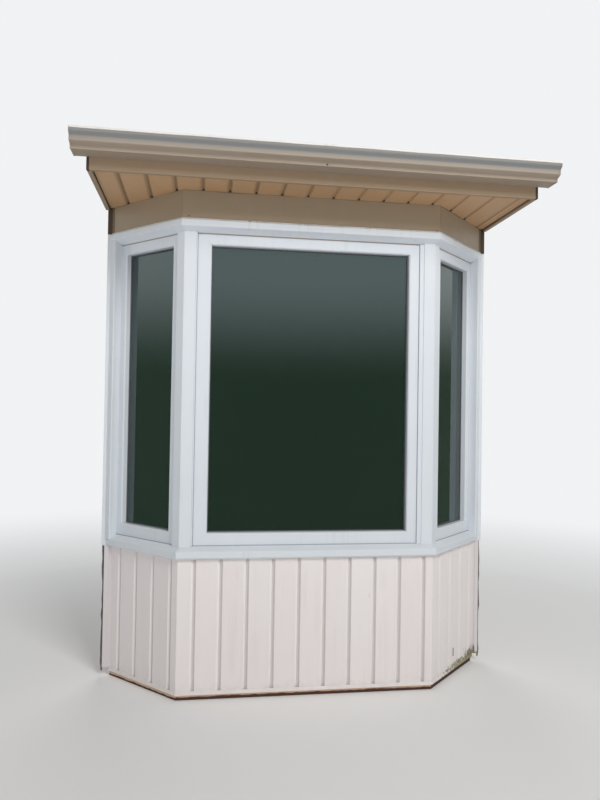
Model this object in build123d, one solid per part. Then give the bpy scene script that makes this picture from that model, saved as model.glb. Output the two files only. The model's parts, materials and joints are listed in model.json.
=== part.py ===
from build123d import *
import math
import os

# A three-sided bay window with its boarded knee wall and the stretch of eave that roofs it.
# Millimetres. +X runs to the right seen from outside, +Y into the house, +Z up.
# The origin is the middle of the bay on the outer face of the house wall, at the underside of the bay.
# An "offset" is a distance outwards from the plane of the corner posts' faces.

# Plan of the bay
FRONT_HALF = 630.5        # from the middle to the outer edge of a corner post, across the front
PROJECTION = 348.0        # how far the posts' front plane stands out of the wall
SIDE_ANGLE = 45.0         # turn of each side away from the front
OPENING_MARGIN = 11.5     # opening in the house wall, past where the side plane meets it
LINER_DEPTH = 100.0       # how far the boards and jambs reach into that opening

# Heights
BASE_BOARD_THICK = 24.0
SEAT_BOARD_THICK = 30.0
SEAT_HEIGHT = 724.0       # top of the seat board, where the window frames stand
WINDOW_HEIGHT = 1534.0    # height of the window frames
HEAD_BOARD_THICK = 30.0
HEADER_DEPTH = 152.0      # from the head board up to the soffit

# Knee wall
PLATE_THICK = 38.0
STUD_DEPTH = 89.0
STUD_WIDTH = 38.0
FRONT_STUDS = 4
SIDE_STUDS = 2
SHEATHING_THICK = 11.0
SIDING_THICK = 12.0
SIDING_FACE = 10.5        # offset of the siding's outer face
BOARD_PITCH = 127.0       # one siding or soffit board
GROOVE_SHIFT = -49.6      # nearest siding groove to the middle of the front
GROOVE_WIDTH = 24.0
GROOVE_ROOT = 8.0
GROOVE_DEPTH = 9.0
BASE_BOARD_EDGE = 6.0     # offset of the base board's edge
TRIM_SHEET = 3.0          # wall of the moulded channels
CHANNEL_LIP = 18.0        # height of the channel at the foot of the siding
WALL_STRIP_EDGE = 45.5    # outer edge of the strip at the wall, past the side plane
WALL_STRIP_THICK = 10.0
WALL_STRIP_LIP = 20.0     # raised outer part of that strip
WALL_STRIP_STEP = 4.0     # how far the rest lies behind it

# Sill, head trim and frieze
BOARD_EDGE = -12.0        # offset of the seat and head boards' edges and of the frames' faces
SILL_LAP = 5.0            # how far the sill covers the foot of the frames
SILL_NOSE = 31.0
SILL_SLOPE = 0.47         # fall of the sill's top for each unit of offset
SILL_DEPTH = 51.5         # from the seat down to the sill's underside
SILL_CHAMFER = 5.0
SILL_CHAMFER_RISE = 7.5
SILL_ROUND = 9.0
HEAD_TRIM_LAP = 11.0      # how far the head trim covers the top of the frames
HEAD_TRIM_FACE = 37.0
HEAD_TRIM_SLOPE = 22.0    # rise from the lapped edge to the trim's upright face
HEAD_TRIM_HEIGHT = 55.0
HEAD_TRIM_ROUND = 5.0
FRIEZE_FACE = 31.0
HEADER_THICK = 38.0

# Window units
FRAME_DEPTH = 80.0
FRAME_BORDER = 66.0       # frame and bead together, seen from outside
SIDE_STILE = 46.0         # the same on the side units' upright members
SIDE_UNIT_START = -1.0    # side unit's end at the wall, along the side
BEAD_WIDTH = 22.0
BEAD_BEVEL = 5.0
GLASS_RECESS = 33.0       # glass face behind the frame's face
PANE = 4.0
PANE_GAP = 16.0
GLASS_CLEARANCE = 4.0     # between a pane's edge and the frame
SPACER_WIDTH = 12.0
STOP_REVEAL = 2.0         # inner stop's edge, outside the bead's foot
FIT_GAP = 0.5             # between a unit and the post or jamb beside it
MITRE_GAP = 0.3           # half the joint between two mitred lengths

# Corner posts, and casings at the wall
POST_FRONT_FACE = 57.0    # post's face on the front
POST_SIDE_FACE = 53.2     # post's face on the side
POST_GROOVE = 8.0         # sunk edge of the post beside the front unit
POST_GROOVE_DEPTH = 20.0
POST_LAP = 6.0            # how far the post covers the side unit's edge
POST_ROUND = 3.0
CASING_FACE = 35.0
CASING_INNER = 6.0        # casing's inner edge, along the side from the wall
CASING_CORNER = 4.0
CASING_BACK = -11.5       # back of its stop, which laps the side frame
EDGE_STRIP_WIDTH = 12.0      # strip that closes the bay's edge at the wall
EDGE_STRIP_THICK = 4.0

# Eave
EAVE_HALF = 1052.0
EAVE_PROJECTION = 600.0
ROOF_RISE = 4.0 / 12.0
SOFFIT_THICK = 12.0
SOFFIT_GROOVE = 16.0
SOFFIT_GROOVE_DEPTH = 7.0
SOFFIT_SHIFT = -36.4      # nearest soffit groove to the middle of the front
FASCIA_THICK = 19.0
FASCIA_DROP = 10.0        # fascia's lower edge, below the soffit
FASCIA_HEIGHT = 154.0
RAFTER_WIDTH = 38.0
RAFTER_DROP = 150.0       # rafter's depth, measured plumb
RAFTERS = 5
DECK_THICK = 12.0
DECK_OVERHANG = 12.0
SHINGLE_BUTT = 11.0
SHINGLE_HEAD = 6.0
SHINGLE_COURSES = 5
SHINGLE_OVERHANG = 13.0
END_BOARD = 20.0

# Gutter
GUTTER_LIFT = 46.0        # gutter's underside above the soffit
GUTTER_HEIGHT = 81.0
GUTTER_FLOOR = 84.0
GUTTER_WAIST = 112.0      # width of the gutter half way up
GUTTER_TOP_WIDTH = 127.0
GUTTER_SHEET = 3.0
GUTTER_LIP = 14.0
GUTTER_FOOT = 13.0        # heights where the front's upright bands start and stop
GUTTER_BELLY = 28.0
GUTTER_SHOULDER = 44.0
GUTTER_BROW = 66.0
SWEEP_FLATS = 6           # flats that make up each swept band of the front
GUTTER_OVERHANG = 54.0    # gutter's end past the eave's end
HANGERS = 5
HANGER_WIDTH = 25.0
HANGER_PLATE = 18.0

ANGLE = math.radians(SIDE_ANGLE)
MITRE = math.tan(ANGLE / 2)
WALL_SLOPE = 1 / math.tan(ANGLE)
SIDE_SPREAD = PROJECTION * WALL_SLOPE
WALL_HALF = FRONT_HALF + SIDE_SPREAD
SIDE_LENGTH = PROJECTION / math.sin(ANGLE)
OPENING_HALF = WALL_HALF + OPENING_MARGIN
SEAT_BOTTOM = SEAT_HEIGHT - SEAT_BOARD_THICK
SILL_BACK = SEAT_HEIGHT + SILL_LAP
SILL_BOTTOM = SEAT_HEIGHT - SILL_DEPTH
HEAD_HEIGHT = SEAT_HEIGHT + WINDOW_HEIGHT
HEAD_TRIM_LOW = HEAD_HEIGHT - HEAD_TRIM_LAP
HEAD_TRIM_TOP = HEAD_TRIM_LOW + HEAD_TRIM_HEIGHT
HEAD_BOARD_TOP = HEAD_HEIGHT + HEAD_BOARD_THICK
SOFFIT_HEIGHT = HEAD_BOARD_TOP + HEADER_DEPTH
SOFFIT_TOP = SOFFIT_HEIGHT + SOFFIT_THICK
FRONT_UNIT_HALF = FRONT_HALF - POST_FRONT_FACE - POST_GROOVE - FIT_GAP
SIDE_UNIT_STOP = SIDE_LENGTH - POST_SIDE_FACE + POST_LAP
FRAME_BACK = BOARD_EDGE - FRAME_DEPTH
SHEATHING_FACE = SIDING_FACE - SIDING_THICK
STUD_FACE = SHEATHING_FACE - SHEATHING_THICK
STUD_BACK = STUD_FACE - STUD_DEPTH
PLATE_TOP = BASE_BOARD_THICK + PLATE_THICK
STUD_HEAD = SEAT_BOTTOM - PLATE_THICK

os.makedirs("parts", exist_ok=True)
nodes = {}


def polygon(points):
    """A flat face from a closed list of points in the XY plane."""
    return make_face(Polyline(*points, close=True))


def slab(points, low, high):
    """An upright prism with the given plan, between two heights."""
    return Pos(0, 0, low) * extrude(polygon(points), amount=high - low, dir=(0, 0, 1))


def lengthwise(section, half):
    """A section given as (y, z) points, run along X to both sides of the middle."""
    return extrude(Plane.YZ * polygon(section), amount=half, both=True)


def both_sides(piece):
    """The piece and its mirror image, right and left of the bay's middle."""
    return piece, mirror(piece, about=Plane.YZ)


def front(piece):
    """Place a piece drawn upright on the XZ plane onto the front of the bay."""
    return Pos(0, -PROJECTION, 0) * piece


def right_side(piece):
    """Place a piece drawn upright on the XZ plane onto the right side of the bay."""
    return Pos((FRONT_HALF + WALL_HALF) / 2, -PROJECTION / 2, 0) * Rot(0, 0, SIDE_ANGLE) * piece


def left_side(piece):
    """Place a piece drawn upright on the XZ plane onto the left side of the bay."""
    return Pos(-(FRONT_HALF + WALL_HALF) / 2, -PROJECTION / 2, 0) * Rot(0, 0, -SIDE_ANGLE) * piece


def side_point(along, offset):
    """Plan point on the right side: along it from the wall, and outwards from it."""
    x = WALL_HALF - along * math.cos(ANGLE) + offset * math.sin(ANGLE)
    y = -along * math.sin(ANGLE) - offset * math.cos(ANGLE)
    return (x, y)


def corner_point(offset):
    """Plan point where the front and the right side meet, at an offset."""
    return (FRONT_HALF + MITRE * offset, -(PROJECTION + offset))


def wall_point(offset):
    """Plan point where the right side meets the wall, at an offset."""
    return (WALL_HALF + offset / math.sin(ANGLE), 0.0)


def face_run(section, half, low_end, high_end, slack):
    """Run a section of (offset, z) points along one face and cut both ends to their slopes.

    An end's slope says how much longer the run gets for each unit of offset."""
    offsets = [offset for offset, z in section]
    heights = [z for offset, z in section]
    inner, outer = min(offsets) - 1, max(offsets) + 1
    reach = half + max(abs(inner), abs(outer)) * max(low_end, high_end) + 1
    bar = lengthwise([(-offset, z) for offset, z in section], reach)
    plan = [
        (slack - half - low_end * outer, -outer),
        (half - slack + high_end * outer, -outer),
        (half - slack + high_end * inner, -inner),
        (slack - half - low_end * inner, -inner),
    ]
    return bar & slab(plan, min(heights) - 1, max(heights) + 1)


def bay_run(section, slack=MITRE_GAP):
    """Left, centre and right lengths of a section that follows the bay, mitred at its corners."""
    centre = front(face_run(section, FRONT_HALF, MITRE, MITRE, slack))
    right, left = both_sides(right_side(face_run(section, SIDE_LENGTH / 2, MITRE, WALL_SLOPE, slack)))
    return left, centre, right


def rounded(points, rounds):
    """A closed outline with some of its corners turned into short arcs of points."""
    outline = []
    for index, point in enumerate(points):
        radius = rounds.get(index, 0)
        if radius == 0:
            outline.append(point)
            continue
        corner = Vector(*point)
        before = (Vector(*points[index - 1]) - corner).normalized()
        after = (Vector(*points[(index + 1) % len(points)]) - corner).normalized()
        half_turn = math.radians(before.get_angle(after)) / 2
        setback = radius / math.tan(half_turn)
        bisector = (before + after).normalized()
        middle = corner + bisector * (radius / math.sin(half_turn) - radius)
        for spot in (corner + before * setback, middle, corner + after * setback):
            outline.append((spot.X, spot.Y))
    return outline


def inset(points, amount):
    """A closed outline, drawn anticlockwise, moved inwards by an amount on every edge."""
    moved = []
    for index, point in enumerate(points):
        corner = Vector(*point)
        before = (corner - Vector(*points[index - 1])).normalized()
        after = (Vector(*points[(index + 1) % len(points)]) - corner).normalized()
        normal_before = Vector(-before.Y, before.X)
        normal_after = Vector(-after.Y, after.X)
        middle = (normal_before + normal_after).normalized()
        place = corner + middle * (amount / middle.dot(normal_before))
        moved.append((place.X, place.Y))
    return moved


def keep(name, *pieces):
    """Store the solids of one node."""
    nodes[name] = pieces[0] if len(pieces) == 1 else Compound(children=list(pieces))


def keep_run(name, pieces):
    """Store the three lengths of a run as three nodes."""
    for side, piece in zip(("left", "centre", "right"), pieces):
        keep(name + "_" + side, piece)


# Knee wall

def make_base_board():
    wall_x, wall_y = wall_point(BASE_BOARD_EDGE)
    corner_x, corner_y = corner_point(BASE_BOARD_EDGE)
    plan = [(-wall_x, wall_y), (-corner_x, corner_y), (corner_x, corner_y), (wall_x, wall_y)]
    keep("base_board", slab(plan, 0, BASE_BOARD_THICK))


def make_plates():
    low = [
        (STUD_BACK, BASE_BOARD_THICK),
        (STUD_FACE, BASE_BOARD_THICK),
        (STUD_FACE, PLATE_TOP),
        (STUD_BACK, PLATE_TOP),
    ]
    rise = STUD_HEAD - BASE_BOARD_THICK
    high = [(offset, z + rise) for offset, z in low]
    keep("knee_wall_plates", *bay_run(low), *bay_run(high))


def stud(x):
    height = STUD_HEAD - PLATE_TOP
    return Pos(x, -(STUD_FACE + STUD_BACK) / 2, PLATE_TOP + height / 2) * Box(STUD_WIDTH, STUD_DEPTH, height)


def make_studs():
    clear = FRONT_HALF + MITRE * STUD_BACK - STUD_WIDTH
    pitch = 2 * clear / (FRONT_STUDS - 1)
    pieces = [front(stud(pitch * index - clear)) for index in range(FRONT_STUDS)]
    low = STUD_WIDTH - SIDE_LENGTH / 2 - MITRE * STUD_BACK
    high = SIDE_LENGTH / 2 + WALL_SLOPE * STUD_BACK - STUD_WIDTH
    pitch = (high - low) / (SIDE_STUDS - 1)
    for index in range(SIDE_STUDS):
        pieces += both_sides(right_side(stud(low + pitch * index)))
    keep("knee_wall_studs", *pieces)


def make_sheathing():
    section = [
        (STUD_FACE, BASE_BOARD_THICK),
        (SHEATHING_FACE, BASE_BOARD_THICK),
        (SHEATHING_FACE, SILL_BOTTOM),
        (STUD_FACE, SILL_BOTTOM),
    ]
    keep("knee_wall_sheathing", *bay_run(section))


def grooved(board, positions):
    """Cut upright grooves into the outer face of a board."""
    for x in positions:
        plan = [
            (x - GROOVE_WIDTH / 2, -SIDING_FACE - 1),
            (x - GROOVE_WIDTH / 2, -SIDING_FACE),
            (x - GROOVE_ROOT / 2, -SIDING_FACE + GROOVE_DEPTH),
            (x + GROOVE_ROOT / 2, -SIDING_FACE + GROOVE_DEPTH),
            (x + GROOVE_WIDTH / 2, -SIDING_FACE),
            (x + GROOVE_WIDTH / 2, -SIDING_FACE - 1),
        ]
        board -= slab(plan, 0, SILL_BOTTOM + 1)
    return board


def one_board_apart(place, low, high):
    """Every position between two limits that is a whole number of boards from a place."""
    first = math.ceil((low - place) / BOARD_PITCH)
    last = math.floor((high - place) / BOARD_PITCH)
    return [place + BOARD_PITCH * index for index in range(first, last + 1)]


def make_siding():
    low = BASE_BOARD_THICK + TRIM_SHEET
    section = [
        (SHEATHING_FACE, low),
        (SIDING_FACE, low),
        (SIDING_FACE, SILL_BOTTOM),
        (SHEATHING_FACE, SILL_BOTTOM),
    ]
    corner = FRONT_HALF + MITRE * SIDING_FACE
    room = corner - GROOVE_WIDTH
    board = face_run(section, FRONT_HALF, MITRE, MITRE, MITRE_GAP)
    keep("siding_centre", front(grooved(board, one_board_apart(GROOVE_SHIFT, -room, room))))
    board = face_run(section, SIDE_LENGTH / 2, MITRE, WALL_SLOPE, MITRE_GAP)
    side_corner = SIDE_LENGTH / 2 + MITRE * SIDING_FACE
    low, high = GROOVE_WIDTH - side_corner, SIDE_LENGTH / 2 - WALL_STRIP_THICK / math.sin(ANGLE)
    unrolled = GROOVE_SHIFT - corner - side_corner
    keep("siding_right", right_side(grooved(board, one_board_apart(unrolled, low, high))))
    unrolled = GROOVE_SHIFT + corner + side_corner
    board = mirror(board, about=Plane.YZ)
    keep("siding_left", left_side(grooved(board, one_board_apart(unrolled, -high, -low))))


def make_siding_trim():
    lip = SIDING_FACE + TRIM_SHEET
    foot = BASE_BOARD_THICK
    section = [
        (SHEATHING_FACE, foot),
        (lip, foot),
        (lip, foot + CHANNEL_LIP),
        (SIDING_FACE, foot + CHANNEL_LIP),
        (SIDING_FACE, foot + TRIM_SHEET),
        (SHEATHING_FACE, foot + TRIM_SHEET),
    ]
    inner = wall_point(SIDING_FACE)[0]
    outer = WALL_HALF + WALL_STRIP_EDGE
    low_face = WALL_STRIP_STEP - WALL_STRIP_THICK
    strip = [
        (inner, 0),
        (inner + low_face * WALL_SLOPE, low_face),
        (outer - WALL_STRIP_LIP, low_face),
        (outer - WALL_STRIP_LIP, -WALL_STRIP_THICK),
        (outer, -WALL_STRIP_THICK),
        (outer, 0),
    ]
    strips = both_sides(slab(strip, foot + CHANNEL_LIP + MITRE_GAP, SILL_BOTTOM))
    keep("siding_trim", *bay_run(section), *strips)


# Sill, head trim, frieze and header

def sill_section():
    nose_top = SILL_BACK - SILL_SLOPE * (SILL_NOSE - BOARD_EDGE)
    points = [
        (BOARD_EDGE, SILL_BOTTOM),
        (SILL_NOSE - SILL_CHAMFER, SILL_BOTTOM),
        (SILL_NOSE, SILL_BOTTOM + SILL_CHAMFER_RISE),
        (SILL_NOSE, nose_top),
        (BOARD_EDGE, SILL_BACK),
    ]
    return rounded(points, {3: SILL_ROUND})


def head_trim_section():
    points = [
        (BOARD_EDGE, HEAD_TRIM_LOW),
        (HEAD_TRIM_FACE, HEAD_TRIM_LOW + HEAD_TRIM_SLOPE),
        (HEAD_TRIM_FACE, HEAD_TRIM_TOP),
        (BOARD_EDGE, HEAD_TRIM_TOP),
    ]
    return rounded(points, {1: HEAD_TRIM_ROUND, 2: HEAD_TRIM_ROUND})


def make_trims():
    keep_run("sill", bay_run(sill_section()))
    keep_run("head_trim", bay_run(head_trim_section()))
    frieze = [
        (BOARD_EDGE, HEAD_TRIM_TOP),
        (FRIEZE_FACE, HEAD_TRIM_TOP),
        (FRIEZE_FACE, SOFFIT_HEIGHT),
        (BOARD_EDGE, SOFFIT_HEIGHT),
    ]
    keep_run("frieze", bay_run(frieze))
    header = [
        (BOARD_EDGE - HEADER_THICK, HEAD_BOARD_TOP),
        (BOARD_EDGE, HEAD_BOARD_TOP),
        (BOARD_EDGE, SOFFIT_HEIGHT),
        (BOARD_EDGE - HEADER_THICK, SOFFIT_HEIGHT),
    ]
    keep("header_boards", *bay_run(header))


# Boards and jambs that line the bay and the opening in the wall

def make_liners():
    edge = [corner_point(BOARD_EDGE), wall_point(BOARD_EDGE), (OPENING_HALF, 0), (OPENING_HALF, LINER_DEPTH)]
    outline = edge + [(-x, y) for x, y in reversed(edge)]
    keep("seat_board", slab(outline, SEAT_BOTTOM, SEAT_HEIGHT))
    keep("head_board", slab(outline, HEAD_HEIGHT, HEAD_BOARD_TOP))
    start = SIDE_UNIT_START - FIT_GAP
    inner_x, inner_y = side_point(start, FRAME_BACK)
    plan = [
        side_point(start, -start * math.tan(ANGLE)),
        (OPENING_HALF, 0),
        (OPENING_HALF, LINER_DEPTH),
        (inner_x, LINER_DEPTH),
        (inner_x, inner_y),
    ]
    right, left = both_sides(slab(plan, SEAT_HEIGHT, HEAD_HEIGHT))
    keep("right_jamb", right)
    keep("left_jamb", left)


# Corner posts, and casings at the wall

def between_trims(piece):
    """Trim an upright piece to the sill below it and the head trim above it."""
    for section in (sill_section(), head_trim_section()):
        for length in bay_run(section, slack=0):
            piece -= length
    return piece


def make_posts():
    inner = FRONT_UNIT_HALF + FIT_GAP
    face = FRONT_HALF - POST_FRONT_FACE
    along = SIDE_LENGTH - POST_SIDE_FACE
    stop = SIDE_UNIT_STOP + FIT_GAP
    plan = [
        (inner, POST_GROOVE_DEPTH - PROJECTION),
        (face, POST_GROOVE_DEPTH - PROJECTION),
        (face, -PROJECTION),
        corner_point(0),
        side_point(along, 0),
        side_point(along, BOARD_EDGE),
        side_point(stop, BOARD_EDGE),
        side_point(stop, FRAME_BACK),
        corner_point(FRAME_BACK),
        (inner, -(PROJECTION + FRAME_BACK)),
    ]
    plan = rounded(plan, {2: POST_ROUND, 3: POST_ROUND, 4: POST_ROUND})
    right, left = both_sides(between_trims(slab(plan, SEAT_HEIGHT, HEAD_HEIGHT)))
    keep("right_corner_post", right)
    keep("left_corner_post", left)


def make_casings():
    face_x = wall_point(CASING_FACE)[0]
    board = [
        (face_x, 0),
        side_point(0, 0),
        side_point(CASING_INNER, 0),
        side_point(CASING_INNER, CASING_FACE - CASING_CORNER),
        side_point(CASING_INNER - CASING_CORNER, CASING_FACE),
    ]
    stop = [
        side_point(0, 0),
        side_point(0, CASING_BACK),
        side_point(CASING_INNER, CASING_BACK),
        side_point(CASING_INNER, 0),
    ]
    nose_x = wall_point(SILL_NOSE)[0]
    strip = [
        (nose_x, 0),
        (nose_x - EDGE_STRIP_THICK * WALL_SLOPE, -EDGE_STRIP_THICK),
        (face_x + EDGE_STRIP_WIDTH, -EDGE_STRIP_THICK),
        (face_x + EDGE_STRIP_WIDTH, 0),
    ]
    nose_top = SILL_BACK - SILL_SLOPE * (SILL_NOSE - BOARD_EDGE)
    casing = slab(board, nose_top, HEAD_TRIM_LOW) + slab(stop, SEAT_HEIGHT, HEAD_TRIM_LOW)
    casing += slab(strip, SILL_BOTTOM, HEAD_TRIM_TOP)
    right, left = both_sides(between_trims(casing))
    keep("right_wall_casing", right)
    keep("left_wall_casing", left)


# Window units

def opening(width, height, stile, rail, near, far):
    """A box that fills the opening inside a border, between two depths behind the frame's face."""
    middle = -BOARD_EDGE + (near + far) / 2
    return Pos(0, middle, 0) * Box(width - 2 * stile, far - near, height - 2 * rail)


def bead_strip(length, section):
    """One mitred glazing bead, its outer edge on z = 0."""
    bar = lengthwise(section, length / 2)
    half = length / 2 - MITRE_GAP
    reach = BEAD_WIDTH + 1
    wedge = polygon([(-half, 0), (half, 0), (half - reach, reach), (reach - half, reach)])
    return bar & extrude(Plane.XZ * wedge, amount=FRAME_DEPTH * 2, both=True)


def make_beads(width, height):
    """Four glazing beads that fill a frame's rebate, centred on the origin."""
    face, foot = -BOARD_EDGE, GLASS_RECESS - BOARD_EDGE
    section = [
        (face, 0),
        (face, BEAD_WIDTH - BEAD_BEVEL),
        (face + BEAD_BEVEL, BEAD_WIDTH),
        (foot, BEAD_WIDTH),
        (foot, 0),
    ]
    low = Pos(0, 0, -height / 2) * bead_strip(width, section)
    right = Rot(0, -90, 0) * Pos(0, 0, -width / 2) * bead_strip(height, section)
    return [low, mirror(low, about=Plane.XY), right, mirror(right, about=Plane.YZ)]


def window_unit(width, stile):
    """Frame, beads, two panes and their spacer, upright on the XZ plane, centred on the origin."""
    height = HEAD_HEIGHT - SEAT_HEIGHT
    rail = FRAME_BORDER
    rebate = BEAD_WIDTH
    inner_pane = GLASS_RECESS + PANE + PANE_GAP
    glass_back = inner_pane + PANE
    frame = opening(width, height, 0, 0, 0, FRAME_DEPTH)
    frame -= opening(width, height, stile - rebate, rail - rebate, -1, glass_back)
    frame -= opening(width, height, stile - STOP_REVEAL, rail - STOP_REVEAL, 0, FRAME_DEPTH + 1)
    edge = rebate - GLASS_CLEARANCE
    panes = [
        opening(width, height, stile - edge, rail - edge, GLASS_RECESS, GLASS_RECESS + PANE),
        opening(width, height, stile - edge, rail - edge, inner_pane, glass_back),
    ]
    ring = opening(width, height, stile - edge, rail - edge, GLASS_RECESS + PANE, inner_pane)
    inside = edge - SPACER_WIDTH
    ring -= opening(width, height, stile - inside, rail - inside, GLASS_RECESS, glass_back)
    beads = make_beads(width - 2 * (stile - rebate), height - 2 * (rail - rebate))
    return {"frame": [frame], "bead": beads, "glass": panes, "spacer": [ring]}


def make_windows():
    middle = (HEAD_HEIGHT + SEAT_HEIGHT) / 2
    shift = SIDE_LENGTH / 2 - (SIDE_UNIT_START + SIDE_UNIT_STOP) / 2
    centre_unit = window_unit(2 * FRONT_UNIT_HALF, FRAME_BORDER)
    side_unit = window_unit(SIDE_UNIT_STOP - SIDE_UNIT_START, SIDE_STILE)
    spacers = []
    for kind in ("frame", "bead", "glass", "spacer"):
        centre = [front(Pos(0, 0, middle) * piece) for piece in centre_unit[kind]]
        right = [right_side(Pos(shift, 0, middle) * piece) for piece in side_unit[kind]]
        left = [mirror(piece, about=Plane.YZ) for piece in right]
        if kind == "spacer":
            spacers = left + centre + right
            continue
        keep("left_" + kind, *left)
        keep("centre_" + kind, *centre)
        keep("right_" + kind, *right)
    keep("glazing_spacers", *spacers)


# Eave

FASCIA_BACK = FASCIA_THICK - EAVE_PROJECTION
INNER_HALF = EAVE_HALF - END_BOARD
DECK_PLUMB = DECK_THICK * math.sqrt(1 + ROOF_RISE ** 2)


RAFTER_TOP = SOFFIT_HEIGHT - FASCIA_DROP + FASCIA_HEIGHT


def roof_line(y, lift=0.0):
    """Height of the rafters' top edges at y, or of a line a plumb distance above them."""
    return RAFTER_TOP + (y - FASCIA_BACK) * ROOF_RISE + lift


def soffit_cutter(x):
    half = SOFFIT_GROOVE / 2
    section = [
        (x - half, SOFFIT_HEIGHT - 1),
        (x + half, SOFFIT_HEIGHT - 1),
        (x + half, SOFFIT_HEIGHT),
        (x, SOFFIT_HEIGHT + SOFFIT_GROOVE_DEPTH),
        (x - half, SOFFIT_HEIGHT),
    ]
    return extrude(Plane.XZ * polygon(section), amount=EAVE_PROJECTION, both=True)


def make_soffit():
    inner = BOARD_EDGE - HEADER_THICK
    corner_x, corner_y = corner_point(inner)
    middle = slab(
        [(-corner_x, FASCIA_BACK), (corner_x, FASCIA_BACK), (corner_x, corner_y), (-corner_x, corner_y)],
        SOFFIT_HEIGHT,
        SOFFIT_TOP,
    )
    side = [
        (corner_x + MITRE_GAP, FASCIA_BACK),
        (INNER_HALF, FASCIA_BACK),
        (INNER_HALF, 0),
        wall_point(inner),
        (corner_x + MITRE_GAP, corner_y),
    ]
    right, left = both_sides(slab(side, SOFFIT_HEIGHT, SOFFIT_TOP))
    room = INNER_HALF - SOFFIT_GROOVE
    for x in one_board_apart(SOFFIT_SHIFT, -room, room):
        if abs(x) < corner_x:
            middle -= soffit_cutter(x)
        elif x > 0:
            right -= soffit_cutter(x)
        else:
            left -= soffit_cutter(x)
    keep("soffit_panels", left, middle, right)


def make_fascia():
    section = [
        (-EAVE_PROJECTION, SOFFIT_HEIGHT - FASCIA_DROP),
        (FASCIA_BACK, SOFFIT_HEIGHT - FASCIA_DROP),
        (FASCIA_BACK, roof_line(FASCIA_BACK)),
        (-EAVE_PROJECTION, roof_line(-EAVE_PROJECTION)),
    ]
    keep("fascia_board", lengthwise(section, EAVE_HALF))
    end = [
        (FASCIA_BACK, SOFFIT_HEIGHT - FASCIA_DROP),
        (0, SOFFIT_HEIGHT - FASCIA_DROP),
        (0, roof_line(0)),
        (FASCIA_BACK, roof_line(FASCIA_BACK)),
    ]
    board = Pos(EAVE_HALF - END_BOARD / 2, 0, 0) * lengthwise(end, END_BOARD / 2)
    keep("eave_end_boards", *both_sides(board))


def make_rafters():
    level_end = FASCIA_BACK + (SOFFIT_TOP + RAFTER_DROP - RAFTER_TOP) / ROOF_RISE
    section = [
        (FASCIA_BACK, SOFFIT_TOP),
        (level_end, SOFFIT_TOP),
        (0, roof_line(0) - RAFTER_DROP),
        (0, roof_line(0)),
        (FASCIA_BACK, roof_line(FASCIA_BACK)),
    ]
    outermost = INNER_HALF - RAFTER_WIDTH / 2
    pitch = 2 * outermost / (RAFTERS - 1)
    tail = lengthwise(section, RAFTER_WIDTH / 2)
    keep("rafter_tails", *[Pos(pitch * index - outermost, 0, 0) * tail for index in range(RAFTERS)])


def make_roof():
    edge = -EAVE_PROJECTION - DECK_OVERHANG
    deck = [
        (edge, roof_line(edge)),
        (0, roof_line(0)),
        (0, roof_line(0, DECK_PLUMB)),
        (edge, roof_line(edge, DECK_PLUMB)),
    ]
    keep("roof_deck", lengthwise(deck, EAVE_HALF))
    first = edge - SHINGLE_OVERHANG
    exposure = -first / SHINGLE_COURSES
    outline = [(0, roof_line(0, DECK_PLUMB)), (first, roof_line(first, DECK_PLUMB))]
    for index in range(SHINGLE_COURSES):
        butt = first + exposure * index
        head = butt + exposure
        outline.append((butt, roof_line(butt, DECK_PLUMB + SHINGLE_BUTT)))
        outline.append((head, roof_line(head, DECK_PLUMB + SHINGLE_HEAD)))
    keep("shingles", lengthwise(outline, EAVE_HALF))


# Gutter

def sweep(start, stop):
    """Points from one upright band of the gutter's front to the next, with a smooth bend at both ends."""
    points = []
    for index in range(SWEEP_FLATS + 1):
        share = index / SWEEP_FLATS
        swing = (1 - math.cos(math.pi * share)) / 2
        points.append((start[0] + (stop[0] - start[0]) * swing, start[1] + (stop[1] - start[1]) * share))
    return points


GUTTER_BOTTOM = SOFFIT_HEIGHT + GUTTER_LIFT


def gutter_outline():
    """Outside of the gutter, anticlockwise: upright foot, belly, waist, brow and upright top edge."""
    points = [(GUTTER_FLOOR, 0), (0, 0), (0, GUTTER_HEIGHT), (GUTTER_TOP_WIDTH, GUTTER_HEIGHT)]
    points += sweep((GUTTER_TOP_WIDTH, GUTTER_BROW), (GUTTER_WAIST, GUTTER_SHOULDER))
    points += sweep((GUTTER_WAIST, GUTTER_BELLY), (GUTTER_FLOOR, GUTTER_FOOT))
    return [(-EAVE_PROJECTION - width, GUTTER_BOTTOM + height) for width, height in points]


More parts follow.
